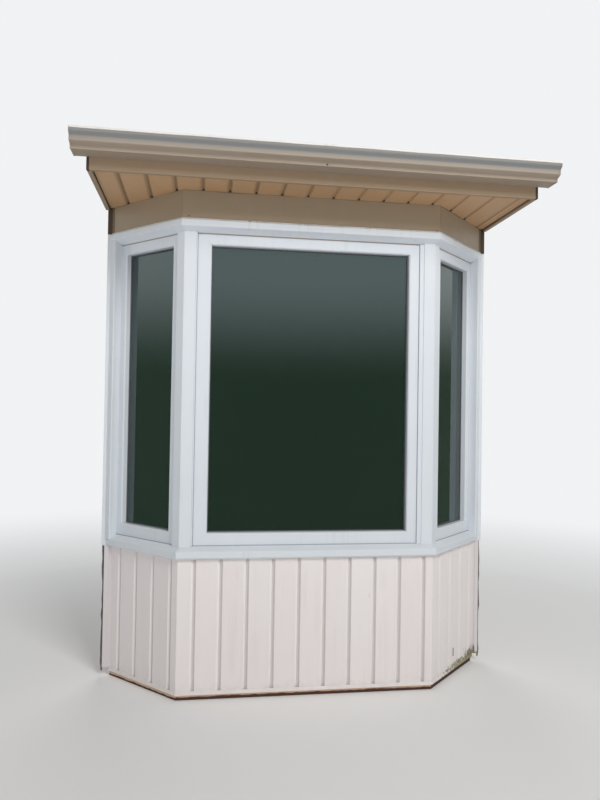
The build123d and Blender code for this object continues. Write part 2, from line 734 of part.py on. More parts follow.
def make_gutter():
    back = -EAVE_PROJECTION
    high = GUTTER_BOTTOM + GUTTER_HEIGHT
    half = EAVE_HALF + GUTTER_OVERHANG
    outside = gutter_outline()
    trough = lengthwise(outside, half - GUTTER_SHEET)
    trough -= lengthwise(inset(outside, GUTTER_SHEET), half)
    mouth_front = back - GUTTER_TOP_WIDTH + GUTTER_LIP
    mouth = [
        (mouth_front, high - 2 * GUTTER_SHEET),
        (back - GUTTER_SHEET, high - 2 * GUTTER_SHEET),
        (back - GUTTER_SHEET, high + 1),
        (mouth_front, high + 1),
    ]
    keep("gutter", trough - lengthwise(mouth, half))
    cap = Pos(half - GUTTER_SHEET / 2, 0, 0) * lengthwise(outside, GUTTER_SHEET / 2)
    keep("gutter_end_caps", *both_sides(cap))
    under = high - GUTTER_SHEET
    near, far = back - GUTTER_SHEET, back - GUTTER_TOP_WIDTH + GUTTER_SHEET
    strap = [
        (near, under - HANGER_PLATE),
        (near, under),
        (far, under),
        (far, under - GUTTER_SHEET),
        (near - GUTTER_SHEET, under - GUTTER_SHEET),
        (near - GUTTER_SHEET, under - HANGER_PLATE),
    ]
    pitch = 2 * EAVE_HALF / HANGERS
    hanger = lengthwise(strap, HANGER_WIDTH / 2)
    places = [pitch * (index + 0.5) - EAVE_HALF for index in range(HANGERS)]
    keep("gutter_hangers", *[Pos(x, 0, 0) * hanger for x in places])


make_base_board()
make_plates()
make_studs()
make_sheathing()
make_siding()
make_siding_trim()
make_trims()
make_liners()
make_posts()
make_casings()
make_windows()
make_soffit()
make_fascia()
make_rafters()
make_roof()
make_gutter()

for name, piece in nodes.items():
    export_step(piece, "parts/" + name + ".step")
print(len(nodes), "nodes written")
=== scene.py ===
# %% [markdown]
# # A bay window with its eave
# This lesson dresses a house's bay window: three fixed windows between white posts, a knee wall of grooved siding
# below, and a soffit, fascia and gutter above. The solid parts come in as a fixed frame. We give each of them a
# finish made of shader nodes, and add the thin parts that such a bay has: gaskets, sealant, nails, shingles.

# %% Load the frame
import json
import math

import bmesh
import bpy
import numpy as np
from mathutils import Matrix, Vector


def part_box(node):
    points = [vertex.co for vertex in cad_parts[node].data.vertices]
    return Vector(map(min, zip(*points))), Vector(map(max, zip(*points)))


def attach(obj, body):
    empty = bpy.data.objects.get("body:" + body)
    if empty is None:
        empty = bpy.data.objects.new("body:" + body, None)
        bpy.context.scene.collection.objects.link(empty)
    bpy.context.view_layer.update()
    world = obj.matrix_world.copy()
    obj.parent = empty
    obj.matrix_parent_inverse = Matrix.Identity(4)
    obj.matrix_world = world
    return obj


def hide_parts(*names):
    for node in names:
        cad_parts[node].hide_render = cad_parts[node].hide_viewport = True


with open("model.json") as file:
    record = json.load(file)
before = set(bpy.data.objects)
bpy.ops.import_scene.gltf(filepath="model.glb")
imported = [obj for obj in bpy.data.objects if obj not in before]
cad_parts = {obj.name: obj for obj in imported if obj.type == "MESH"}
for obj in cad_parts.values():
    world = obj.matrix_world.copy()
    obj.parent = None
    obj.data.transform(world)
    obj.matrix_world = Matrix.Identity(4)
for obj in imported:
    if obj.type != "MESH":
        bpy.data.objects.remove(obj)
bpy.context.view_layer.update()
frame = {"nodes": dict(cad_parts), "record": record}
nodes = frame["nodes"]

# %% [markdown]
# ## The bay's own measures
# A few plan dimensions place everything that follows the bay. Its front is a straight line between two corners, and
# each side runs back to the wall at 45 degrees. All lengths are in metres.

# %% Plan dimensions
FRONT_HALF = 0.6305           # middle of the bay to the front corner
PROJECTION = 0.348            # house wall to the front face
SIDE_TURN = math.radians(45)  # a side's turn from the front
TURN = math.cos(SIDE_TURN)    # what a length along a side measures along X, and along Y
WALL_HALF = FRONT_HALF + PROJECTION / math.tan(SIDE_TURN)
CORNER_MITRE = math.tan(SIDE_TURN / 2)
WALL_MITRE = 1 / math.sin(SIDE_TURN)
print("the bay is", round(2 * WALL_HALF, 3), "m wide at the wall")

# %% [markdown]
# ## Camera
# The photograph was taken standing a little left of the middle, close to the bay, with the lens nearly level. A
# camera is described by where its eye is and which way it turns: yaw to the right, pitch up, and a slight roll. A new
# camera looks straight down, so its pitch starts a quarter turn below the level.

# %% Camera at the photograph's viewing angle
EYE = Vector((-0.5225, -3.595, 1.384))
YAW, PITCH, ROLL = 0.143, 0.018, 0.016
FOCAL_SHARE = 664.79 / 800    # focal length as a share of the picture's height
LONG_SIDE = 36.0


def link(made):
    """Bring a new object into the scene."""
    bpy.context.scene.collection.objects.link(made)
    return made


lens = bpy.data.cameras.new("photo_lens")
lens.sensor_width = LONG_SIDE
lens.lens = FOCAL_SHARE * LONG_SIDE
camera = link(bpy.data.objects.new("photo_camera", lens))
heading = Matrix.Translation(EYE) @ Matrix.Rotation(-YAW, 4, "Z")
camera.matrix_world = heading @ Matrix.Rotation(math.pi / 2 + PITCH, 4, "X") @ Matrix.Rotation(ROLL, 4, "Z")
bpy.context.scene.camera = camera
bpy.context.scene.view_settings.view_transform = "Standard"
print("camera at", tuple(EYE), "with a", round(lens.lens, 2), "mm lens")

# %% [markdown]
# ## Helpers for shader nodes
# A finish is a small network of nodes. One helper adds a node and plugs in its inputs, and what comes out is wrapped
# as a signal, which can stand in a sum like a number. More helpers cover the steps that return in every finish, such
# as mixing two colours.

# %% Node helpers
FINISHES = {}                 # every material made here, by its name


class Signal:
    """What comes out of a node. In a sum, each sign adds the Math node that works it out, and signal[key] is
    another output of the same node."""

    def __init__(self, socket):
        self.socket, self.tree = socket, socket.id_data

    def __getitem__(self, key):
        return Signal(self.socket.node.outputs[key])

    def __add__(self, other):
        return calc("ADD", self, other)

    def __sub__(self, other):
        return calc("SUBTRACT", self, other)

    def __rsub__(self, other):
        return calc("SUBTRACT", other, self)

    def __mul__(self, other):
        return calc("MULTIPLY", self, other)

    def __truediv__(self, other):
        return calc("DIVIDE", self, other)

    def __abs__(self):
        return calc("ABSOLUTE", self)


def plug(node, inputs):
    """Fill inputs of a node, given by name or number: a signal is linked, and anything else is set as the value."""
    for key, value in inputs.items():
        if isinstance(value, Signal):
            node.id_data.links.new(value.socket, node.inputs[key])
        else:
            node.inputs[key].default_value = value


def add(kind, inputs, tree=None, **settings):
    """Add one node, in the given tree or where its first signal comes from, and return its first output."""
    tree = tree if tree else next(value.tree for value in inputs.values() if isinstance(value, Signal))
    node = tree.nodes.new("ShaderNode" + kind)
    for key, value in settings.items():
        setattr(node, key, value)
    plug(node, inputs)
    return Signal(node.outputs[0])


def calc(operation, first, second=0.0):
    """One sum on numbers, such as POWER or MAXIMUM."""
    return add("Math", {0: first, 1: second}, operation=operation)


def spread(value, low, high, start=0.0, stop=1.0):
    """Turn a value between low and high into one between start and stop, eased at both ends."""
    limits = {"Value": value, "From Min": low, "From Max": high, "To Min": start, "To Max": stop}
    return add("MapRange", limits, interpolation_type="SMOOTHSTEP")


def between(share, first, second):
    """A number between two others."""
    return add("Mix", {0: share, 2: first, 3: second})


def mix(share, first, second):
    """A colour between two others."""
    return add("Mix", {0: share, 6: first, 7: second}, data_type="RGBA")[2]


def stretch(vector, scale, turn=(0, 0, 0)):
    """The same place, turned and measured in other units along each axis."""
    return add("Mapping", {"Vector": vector, "Rotation": turn, "Scale": scale})


def noise(vector, scale, detail=3.0, roughness=0.5):
    """Soft random value from 0 to 1, with blotches about 1 / scale metres across."""
    return add("TexNoise", {"Vector": vector, "Scale": scale, "Detail": detail, "Roughness": roughness})


def cells(vector, scale):
    """A Voronoi texture: cells about 1 / scale metres across."""
    return add("TexVoronoi", {"Vector": vector, "Scale": scale})


def split(vector):
    """The three parts of a vector."""
    parts = add("SeparateXYZ", {0: vector})
    return parts[0], parts[1], parts[2]


def begin(name):
    """A new material's Principled shader, and the object's own coordinates in it."""
    FINISHES[name] = bpy.data.materials.new(name)
    FINISHES[name].use_nodes = True
    tree = FINISHES[name].node_tree
    tree.nodes.clear()
    shader = tree.nodes.new("ShaderNodeBsdfPrincipled")
    plug(tree.nodes.new("ShaderNodeOutputMaterial"), {"Surface": Signal(shader.outputs[0])})
    return shader, add("TexCoord", {}, tree)["Object"]


def relief(shader, height, depth):
    """Let a height between 0 and 1 raise the surface by up to depth metres."""
    plug(shader, {"Normal": add("Bump", {"Height": height, "Strength": 1.0, "Distance": depth})})


def own_place(name):
    """The object's own coordinates in a finished material."""
    return add("TexCoord", {}, FINISHES[name].node_tree)["Object"]


def lay_over(mask, colour):
    """Put a colour over what a finished material shows, as far as a mask made in its tree says."""
    shader = mask.tree.nodes["Principled BSDF"]
    below = Signal(shader.inputs["Base Color"].links[0].from_socket)
    plug(shader, {"Base Color": mix(mask, below, colour)})


print("node helpers ready")

# %% [markdown]
# ## Shared effects
# Rain leaves faint upright streaks, dust settles on what faces up, and splashes from the ground dirty the lowest
# hand's breadth. Such an effect is a node group, built once and placed in each finish with its own strengths. Siding
# and boards also follow the bay's turns, so a group gives places along it.

# %% Node groups for weather and grain
def group(name, inputs, outputs):
    """An empty shader group: its tree, its inputs as signals, and its end node. An input is given by its number, or
    None for a vector, and an output by its kind."""
    made = bpy.data.node_groups.new(name, "ShaderNodeTree")
    for label, value in inputs.items():
        kind = "NodeSocketVector" if value is None else "NodeSocketFloat"
        socket = made.interface.new_socket(label, in_out="INPUT", socket_type=kind)
        if value is not None:
            socket.default_value = value
    for label, kind in outputs.items():
        made.interface.new_socket(label, in_out="OUTPUT", socket_type="NodeSocket" + kind)
    given = Signal(made.nodes.new("NodeGroupInput").outputs[0])
    return made, given, made.nodes.new("NodeGroupOutput")


def use(effect, inputs):
    """Place a group in a material."""
    return add("Group", inputs, node_tree=effect)


def make_weather():
    """Mask of dirt from 0 to 1: the larger of upright streaks, dust on upward faces and splashes near the ground."""
    inputs = {"Place": None, "Facing": None, "Streaks": 0.3, "Dust": 0.4, "Splash": 0.5, "Reach": 0.16}
    made, given, result = group("weather", inputs, {"Dirt": "Float"})
    place = given["Place"]
    long_marks = noise(stretch(place, (38, 38, 1.3)), 1.0, 4.0)
    streaks = spread(long_marks, 0.5, 0.72) * spread(noise(place, 4.0, 4.0), 0.4, 0.65)
    upward = spread(split(given["Facing"])[2], 0.2, 0.9)
    dust = upward * spread(noise(place, 9.0, 5.0), 0.25, 0.75)
    near_ground = spread(split(place)[2] / given["Reach"], 1.0, 0.1)
    splash = near_ground * spread(noise(place, 34.0, 5.0), 0.36, 0.7)
    strongest = streaks * given["Streaks"]
    for mark, strength in ((dust, "Dust"), (splash, "Splash")):
        strongest = calc("MAXIMUM", strongest, mark * given[strength])
    plug(result, {"Dirt": strongest})
    return made


def make_wood_grain():
    """Sawn softwood whose grain runs along X: broad rings that wander, and fine fibres across them."""
    made, given, result = group("wood_grain", {"Place": None}, {"Rings": "Float", "Fibres": "Float"})
    place = given["Place"]
    wander = noise(stretch(place, (1.2, 9, 9)), 1.0, 2.0)
    across = split(stretch(place, (0, 1, 1)))
    rings = (across[1] + across[2] * 0.6) * 95.0 + wander * 16.0
    plug(result, {"Rings": calc("POWER", abs(calc("SINE", rings)), 2.2),
                  "Fibres": noise(stretch(place, (9, 420, 420)), 1.0, 3.0)})
    return made


def make_bay_place():
    """Place as a fitter on the bay would give it: X along the bay's faces, Y outwards from them, Z up.
    A point past the corner's mitre line is turned by the side's 45 degrees about the corner."""
    made, given, result = group("bay_place", {"Place": None}, {"Place": "Vector", "Side": "Float"})
    x, y, z = split(given["Place"])
    from_middle, hand = abs(x), calc("SIGN", x)
    past, back = from_middle - FRONT_HALF, y + PROJECTION
    on_side = calc("GREATER_THAN", past + back * CORNER_MITRE)
    along = between(on_side, from_middle, (past + back) * TURN + FRONT_HALF)
    out = between(on_side, back * -1.0, (past - back) * TURN)
    plug(result, {"Place": add("CombineXYZ", {0: along * hand, 1: out, 2: z}), "Side": on_side * hand})
    return made


WEATHER = make_weather()
WOOD_GRAIN = make_wood_grain()
BAY_PLACE = make_bay_place()
print("node groups:", [effect.name for effect in (WEATHER, WOOD_GRAIN, BAY_PLACE)])

# %% [markdown]
# ## Smooth coats: vinyl, paint and coated metal
# The window parts are white vinyl, and frieze, soffit, fascia and gutter are coated metal in browns and beiges. All
# are smooth and slightly glossy, with a very fine orange peel, so one function makes them. What differs is the
# colour, how much the sheet ripples and how much weather it has taken.

# %% Coats
DIRT = (0.33, 0.30, 0.25, 1)


def weather_on(place, **strengths):
    """How dirty the weather has made a material."""
    facing = add("NewGeometry", {}, place.tree)["Normal"]
    return use(WEATHER, {"Place": place, "Facing": facing, **strengths})


def coat(name, colour, roughness, ripple=0.0, streaks=0.0, dust=0.0, splash=0.0, dirt=DIRT):
    """A smooth coat: colour that drifts by a few percent, weather over it, and gloss that is duller where dirty."""
    shader, place = begin(name)
    light = tuple(min(1.0, part * 1.04) for part in colour) + (1,)
    dark = tuple(part * 0.93 for part in colour) + (1,)
    clean = mix(noise(place, 2.3, 4.0), dark, light)
    marks = weather_on(place, Streaks=streaks, Dust=dust, Splash=splash)
    rough = spread(noise(place, 26.0), 0.2, 0.8, roughness - 0.05, roughness + 0.05) + marks * 0.3
    plug(shader, {"Base Color": mix(marks, clean, dirt), "Roughness": rough})
    relief(shader, noise(place, 900.0, 1.0) * 0.02 + noise(place, 5.0, 1.0) * ripple, 0.004)
    return shader


coat("white_vinyl", (0.73, 0.775, 0.825), 0.33, 0.0, 0.12, 0.08)
coat("painted_lining", (0.82, 0.80, 0.76), 0.45, 0.0, 0.0, 0.1)
coat("siding_trim", (0.88, 0.825, 0.805), 0.4, 0.1, 0.1, 0.2, 0.1)
# The frieze's brown is darker than its paint: part of it is painted shade.
coat("frieze_cover", (0.325, 0.252, 0.17), 0.42, 0.35, 0.2, 0.3)
# The soffit's orange-tan is warmer than its paint: part of it is painted warm bounce light.
coat("soffit_sheet", (0.55, 0.34, 0.185), 0.45, 0.25, 0.0, 0.3)
coat("gutter_metal", (0.37, 0.30, 0.235), 0.32, 0.3, 0.45, 0.6)
coat("fascia_cover", (0.35, 0.25, 0.16), 0.42, 0.4, 0.25, 0.3)
# Painted highlight for the gutter's top edge.
coat("gutter_lip_highlight", (0.80, 0.755, 0.73), 0.3, 0.1, 0.3, 0.2)
plug(coat("hanger_metal", (0.62, 0.62, 0.63), 0.4, 0.1, 0.2, 0.6), {"Metallic": 1.0})
plug(coat("spacer_metal", (0.55, 0.56, 0.57), 0.38), {"Metallic": 1.0})
print("coats made:", len(FINISHES))

# %% [markdown]
# ## Painted shade beside the soffit's grooves, and painted tones on the gutter and the wall strips
# The soffit boards are rolled sheet, a little hollow beside each groove. There a soft brown stripe of painted shade
# lies to the left of a groove, strongest at the eave's left end and faint near its right end. The upper half of the
# gutter is painted a cooler grey, a painted reflection of the sky. The siding's strips beside the wall share a coat
# with the channel below it, and are painted greyer as painted shade.

# %% Painted groove shade, painted reflection on the gutter and painted shade on the wall strips
BOARD_PITCH = 0.127
SOFFIT_SHIFT = -0.0364        # nearest soffit groove to the middle of the front
GUTTER_MIDDLE = (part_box("gutter")[0].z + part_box("gutter")[1].z) / 2


def past_groove(along, shift):
    """How far past the nearest groove a place is, with its sign, and the place counted in boards."""
    boards = (along - shift) / BOARD_PITCH
    return (boards - calc("ROUND", boards)) * BOARD_PITCH, boards


# Painted shade: a soft brown stripe beside each soffit groove, fading from the eave's left end to its right.
x, y, z = split(own_place("soffit_sheet"))
past, boards = past_groove(x, SOFFIT_SHIFT)
groove_shade = spread(past, -0.024, -0.010) * spread(past, 0.011, 0.006)
lay_over(groove_shade * spread(x, 0.45, -0.45, 0.12, 0.6), (0.27, 0.175, 0.105, 1))
# Painted reflection: the gutter's upper half is painted a cooler grey, as the sky would mirror there.
x, y, z = split(own_place("gutter_metal"))
lay_over(spread(z, GUTTER_MIDDLE - 0.016, GUTTER_MIDDLE + 0.012, 0.0, 0.75), (0.20, 0.225, 0.24, 1))
# Painted shade: the siding's strips beside the wall are painted greyer.
x, y, z = split(own_place("siding_trim"))
lay_over(spread(abs(x), 0.984, 0.990), (0.70, 0.66, 0.665, 1))
print("painted shade and reflection made")

# %% [markdown]
# ## Siding
# The knee wall's siding is upright boards with a faint embossed grain. It is dirtiest at the foot, where rain
# splashes back. On the right side yellow-green moss grows along the foot, and a darker stain climbs from the ground
# where that side meets the house wall.

# %% Siding
SIDING_FACE = 0.0105          # how far the siding stands out from the bay's face
GROOVE_SHIFT = -0.0496        # nearest groove to the middle of the front
GROOVE_HALF = 0.012
ROOT_HALF = 0.004             # half of a groove's flat bottom
EDGE = 0.001                  # over which one tone passes into the next


def make_siding():
    """Off-white boards, each with its own slight tone, and an emboss of noise drawn out along the height. A groove's
    left slope, the edge of a board, carries a painted highlight, full on the front and faint on the sides. Its root
    and right slope carry painted shade, much weaker on the right side."""
    shader, place = begin("siding_boards")
    bay = use(BAY_PLACE, {"Place": place})
    side = bay["Side"]
    unrolled = split(bay)[0] + side * (2 * CORNER_MITRE * SIDING_FACE)
    past, boards = past_groove(unrolled, GROOVE_SHIFT)
    # Painted shade in each groove's root and right slope, and a painted highlight on its left slope.
    enters = spread(past, -ROOT_HALF - EDGE, -ROOT_HALF + EDGE)
    shade = enters * spread(past, GROOVE_HALF, GROOVE_HALF - 2 * EDGE) * spread(side, 0.0, 1.0, 0.75, 0.2)
    painted_highlight = spread(past, -GROOVE_HALF - EDGE, -GROOVE_HALF + EDGE) * (1.0 - enters)
    tone = add("TexWhiteNoise", {"W": calc("FLOOR", boards)}, noise_dimensions="1D")
    clouds = noise(stretch(bay, (9, 9, 0.8)), 1.0, 4.0)
    clean = mix(tone, (0.84, 0.78, 0.77, 1), (0.87, 0.815, 0.805, 1))
    clean = mix(spread(clouds, 0.35, 0.75, 0.0, 0.3), clean, (0.87, 0.84, 0.84, 1))
    clean = mix(shade, clean, (0.60, 0.55, 0.54, 1))
    clean = mix(painted_highlight * (0.95 - abs(side) * 0.85), clean, (0.97, 0.945, 0.935, 1))
    marks = weather_on(place, Streaks=0.09, Dust=0.3, Splash=0.22, Reach=0.1)
    plug(shader, {"Base Color": mix(marks, clean, (0.42, 0.37, 0.31, 1)), "Roughness": 0.55})
    relief(shader, noise(stretch(bay, (240, 240, 7)), 1.0, 3.0), 0.0004)


# From where to where each thickens towards the wall and towards the ground, its grain, how far that is drawn out
# upwards, and its colour.
GROWTH = {
    "stain": ((0.84, 0.98), (0.14, 0.02), 70.0, 0.25, (0.15, 0.14, 0.09, 1)),
    "moss": ((0.60, 0.88), (0.085, 0.036), 75.0, 0.8, (0.24, 0.215, 0.085, 1)),
}


def grow(name):
    """Stain and moss: each is thickest in the corner of wall and ground. Noise is added to that thickness before a
    limit cuts it off, so a patch is whole at its root and breaks up towards its edge."""
    for across, up, grain, rise, colour in GROWTH.values():
        x, y, z = split(own_place(name))
        place = add("CombineXYZ", {0: x, 1: y, 2: z * rise})
        thick = spread(x, *across) * spread(z, *up)
        lay_over(spread(noise(place, grain, 5.0) + thick * 0.42, 0.72, 0.84, 0.0, 0.85), colour)


make_siding()
grow("siding_boards")
grow("siding_trim")
print("siding made")

# %% [markdown]
# ## Wood and strand board
# Framing is sawn softwood, the board under the siding is bare wood that has begun to weather, and the sheets behind
# the siding and on the roof are strand board. Grain runs along each stick, so the finish is made once for each way
# that sticks lie: a turn brings the stick's length onto the X axis that the grain group expects.

# %% Wood
ALONG_X = (0, 0, 0)
ALONG_Y = (0, 0, math.radians(90))
ALONG_Z = (0, math.radians(90), 0)
PINE = ((0.74, 0.58, 0.38, 1), (0.55, 0.38, 0.21, 1))
RAW = ((0.80, 0.57, 0.41, 1), (0.60, 0.38, 0.24, 1))


def sawn_wood(name, pale, dark, turn, follows_bay=False, weathered=0.0):
    """Softwood: rings darken the pale colour, fibres roughen it, and weather turns it grey."""
    shader, place = begin(name)
    if follows_bay:
        place = use(BAY_PLACE, {"Place": place})
    grain = use(WOOD_GRAIN, {"Place": stretch(place, (1, 1, 1), turn)})
    wood = mix(grain["Rings"] * 0.55, pale, dark)
    wood = mix(spread(grain["Fibres"], 0.3, 0.8, 0.0, 0.25), wood, dark)
    grey = spread(noise(stretch(place, (5, 30, 30)), 1.0, 5.0), 0.35, 0.7, 0.0, weathered)
    plug(shader, {"Base Color": mix(grey, wood, (0.30, 0.24, 0.19, 1)), "Roughness": 0.72})
    relief(shader, grain["Rings"] * 0.5 + grain["Fibres"], 0.0006)


sawn_wood("framing_lumber_across", *PINE, ALONG_X, follows_bay=True)
sawn_wood("framing_lumber_upright", *PINE, ALONG_Z)
sawn_wood("framing_lumber_rafters", *PINE, ALONG_Y)
sawn_wood("raw_board", *RAW, ALONG_X, follows_bay=True, weathered=0.3)


# Painted shadow: the raw board's edge is dark up to a ragged line, the shade of the gap under the bay. That line lies
# lowest on the left side, higher on the front, and near the board's top on the right side.
place = own_place("raw_board")
side = use(BAY_PLACE, {"Place": place})["Side"]
line = side * 0.0055 + 0.0145 + spread(noise(place, 26.0, 5.0), 0.25, 0.75, -0.002, 0.002)
lay_over(spread(split(place)[2] - line, 0.001, -0.001), (0.075, 0.032, 0.024, 1))

# Pressed strands: two layers of long cells, turned to each other, each cell with its own brown.
shader, place = begin("strand_board")
layers = [split(cells(stretch(place, scale, turn), 1.0)["Color"])[0] for scale, turn in
          (((14, 40, 40), (0.2, 0.3, 0.5)), ((38, 12, 34), (0.5, 0.1, 1.3)))]
tone = between(spread(noise(place, 25.0), 0.48, 0.52), *layers)
plug(shader, {"Base Color": mix(tone, (0.42, 0.28, 0.14, 1), (0.72, 0.56, 0.34, 1)), "Roughness": 0.65})
relief(shader, tone + noise(place, 300.0), 0.0006)
print("wood finishes made")

# %% [markdown]
# ## Glass
# Each window has two clear panes. Seen from outside, before a dark room, they look deep green-grey, so every pane is
# tinted dark green-grey: a faint green of its own, and painted shade that stands for the dark room behind. The tint
# swallows what the inner faces of a double pane would mirror. The panes therefore get a higher IOR than glass has, at
# which the outer face mirrors a tenth of the light by itself. What it mirrors is tinted a little blue, as by the thin
# metal film that keeps the heat in.

# %% Glass
shader, place = begin("pane_glass")
film = spread(noise(place, 3.0, 4.0), 0.35, 0.8, 0.0, 0.03)  # dust that dulls the gloss
# The dark tint is painted shade for the room behind, over the glass's own faint green.
tint = mix(noise(place, 1.1), (0.06, 0.105, 0.08, 1), (0.09, 0.14, 0.115, 1))
plug(shader, {"Base Color": tint, "Roughness": film, "Transmission Weight": 1.0, "IOR": 1.95,
              "Specular Tint": (0.80, 0.97, 1.0, 1)})
print("glass made")

# %% [markdown]
# ## Shingles, rubber and sealant
# Shingles are felt covered in coloured mineral granules, which look like coarse sand and give each tab its own tone.
# The window gaskets are dark rubber, and the joints are closed with a pale sealant that collects dirt.

# %% Shingle, rubber and sealant finishes
# Granules are fine cells that each have a tone, over a tone for the whole tab that is held on the mesh.
shader, place = begin("shingle_granules")
fine = cells(place, 620.0)
tab_tone = add("Attribute", {}, place.tree, attribute_name="tone")["Fac"]
base = mix(tab_tone, (0.125, 0.116, 0.11, 1), (0.20, 0.185, 0.17, 1))
grit = spread(split(fine["Color"])[0], 0.55, 1.0, 0.0, 0.6)
plug(shader, {"Base Color": mix(grit, base, (0.42, 0.39, 0.36, 1)), "Roughness": 0.92})
relief(shader, fine["Distance"], 0.0012)
coat("gasket_rubber", (0.11, 0.115, 0.12), 0.6, dust=0.2)
coat("dark_channel", (0.065, 0.042, 0.025), 0.6, dust=0.1)
# Painted shade for the joints at the windows' feet and heads.
coat("foot_joint_shade", (0.36, 0.40, 0.46), 0.6, dust=0.2)
coat("head_joint_shade", (0.33, 0.25, 0.18), 0.6, dust=0.2)
coat("frieze_channel", (0.17, 0.125, 0.07), 0.5, 0.0, 0.1, 0.2)
coat("sealant", (0.62, 0.60, 0.57), 0.5, 0.4, 0.9, 0.6, 0.8, (0.12, 0.10, 0.085, 1))
coat("old_sealant", (0.11, 0.095, 0.09), 0.55, 0.4, 0.9, 0.6, 0.6, (0.34, 0.31, 0.29, 1))
print("granules, rubber and sealant made")

# %% [markdown]
# ## Dressing the frame
# The frame's record names the finish of each part, and most finishes here have that name. Studs and rafters take a
# variant, because their grain runs another way than the plates' does. So do the fascia and the boards at the eave's
# ends, whose cover is browner than the gutter.

# %% Finish for each part of the frame
OTHER_NAME = {"framing_lumber": "framing_lumber_across", "sheathing_board": "strand_board", "siding": "siding_boards",
              "pane": "pane_glass", "shingle": "shingle_granules"}
VARIANT = {"knee_wall_studs": "framing_lumber_upright", "rafter_tails": "framing_lumber_rafters",
           "fascia_board": "fascia_cover", "eave_end_boards": "fascia_cover"}

for part in frame["record"]["subparts"]:
    name, slot = part["node"], part["material_slot"]
    mesh = nodes[name].data
    mesh.materials.clear()
    mesh.materials.append(FINISHES[VARIANT.get(name, OTHER_NAME.get(slot, slot))])

# %% [markdown]
# ## Making pieces
# Every new piece is a surface worked out as an array of points. Most are one of three kinds: a profile carried along
# a line, a bar that stands on a plan, or many small copies of one head. A piece is closed, faces outwards and keeps
# its place in its mesh, so its object stays at the origin.

# %% Mesh helpers
UP = np.array([0, 0, 1.0])
SIGNS = (-1, 1)               # left and right


def ring_faces(rows, columns, closed_rows=False):
    """Four-sided faces of a grid whose columns close on themselves, and whose rows may too."""
    row = np.arange(rows if closed_rows else rows - 1)[:, None]
    column = np.arange(columns)[None, :]
    this, after = row * columns, (row + 1) % rows * columns
    after_column = (column + 1) % columns
    corners = [this + column, this + after_column, after + after_column, after + column]
    return np.stack(corners, axis=-1).reshape(-1, 4).tolist()


def capped(points):
    """Skin rows of points that each close on themselves, and close the first and the last row with a face."""
    rows, columns = points.shape[:2]
    ends = [list(range(columns)), list(range((rows - 1) * columns, rows * columns))]
    return points, ring_faces(rows, columns) + ends


def rectangle(start, stop, back, front):
    """The corners of a rectangle."""
    return [(start, back), (stop, back), (stop, front), (start, front)]


def bar(plan, low, high):
    """An upright bar over a plan outline. Each height is one number, or one for each corner."""
    return capped(np.stack([np.column_stack([plan, np.broadcast_to(level, len(plan))]) for level in (low, high)]))


def on_side(sign, pairs):
    """Plan points on a side face, from pairs of a distance along it from the wall and a distance out from it."""
    along, out = np.transpose(pairs)
    return np.column_stack([sign * (WALL_HALF - along * TURN + out * TURN), -along * TURN - out * TURN])


def mesh_object(name, points, faces, finish):
    """A new object in one finish."""
    mesh = bpy.data.meshes.new(name)
    mesh.from_pydata(points, [], faces)
    mesh.materials.append(FINISHES[finish])
    return link(bpy.data.objects.new(name, mesh))


def piece(name, shapes, finish, tones=None):
    """Join (points, faces) pairs into one mesh, turn its faces outwards, and let it ride with the bay."""
    points, faces, first = [], [], 0
    for some_points, some_faces in shapes:
        points.append(np.asarray(some_points, float).reshape(-1, 3))
        faces += [[first + corner for corner in face] for face in some_faces]
        first += len(points[-1])
    made = mesh_object(name, np.concatenate(points), faces, finish)
    mesh = made.data
    if tones is not None:
        mesh.attributes.new("tone", "FLOAT", "POINT").data.foreach_set("value", np.asarray(tones, np.float32))
    shape = bmesh.new()
    shape.from_mesh(mesh)
    bmesh.ops.recalc_face_normals(shape, faces=shape.faces)
    shape.to_mesh(mesh)
    shape.free()
    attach(made, "root")
    print(name, "has", len(mesh.polygons), "faces")
    return made


def swept(places, outwards, profile, swell=1.0):
    """A closed profile of (out, up) points at each place: point = place + out * outward + up * (0, 0, 1).
    A swell for each place first widens the profile about its first point."""
    first = np.asarray(profile[0], float)
    grown = first + np.multiply.outer(swell * np.ones(len(places)), np.asarray(profile, float) - first)
    return capped(places[:, None, :] + grown[..., :1] * outwards[:, None, :] + grown[..., 1:] * UP)


BAY_CORNERS = np.array([(-WALL_HALF, 0, 0), (-FRONT_HALF, -PROJECTION, 0),
                        (FRONT_HALF, -PROJECTION, 0), (WALL_HALF, 0, 0)])
BAY_MITRES = np.array([(-WALL_MITRE, 0, 0), (-CORNER_MITRE, -1, 0), (CORNER_MITRE, -1, 0), (WALL_MITRE, 0, 0)])


def bay_line(spacing):
    """Places along the bay from wall to wall, and the way outwards at each. Between two corners both change evenly,
    which keeps every offset point on its face's plane."""
    lengths = np.linalg.norm(np.diff(BAY_CORNERS, axis=0), axis=1)
    travelled = np.concatenate([[0.0], np.cumsum(lengths)])
    stops = np.unique(np.concatenate([travelled, np.arange(spacing, travelled[-1] - spacing / 2, spacing)]))
    return [np.stack([np.interp(stops, travelled, table[:, axis]) for axis in range(3)], axis=1)
            for table in (BAY_CORNERS, BAY_MITRES)]


random = np.random.default_rng(12)


def uneven(count, low, high, grain=3):
    """Factors that wander between two limits: random values at every few places, with straight lines between."""
    knots = random.uniform(low, high, count // grain + 2)
    return np.interp(np.arange(count), np.arange(len(knots)) * grain, knots)


def quarter(out, rise, hidden, steps=4):
    """Profile of a bead in an inside corner: points (out * cos t, rise * sin t) round the origin, after a first one
    that is hidden in the corner."""
    turn = np.linspace(0, math.pi / 2, steps + 1)
    return np.concatenate([[hidden], np.stack([out * np.cos(turn), rise * np.sin(turn)], axis=1)])


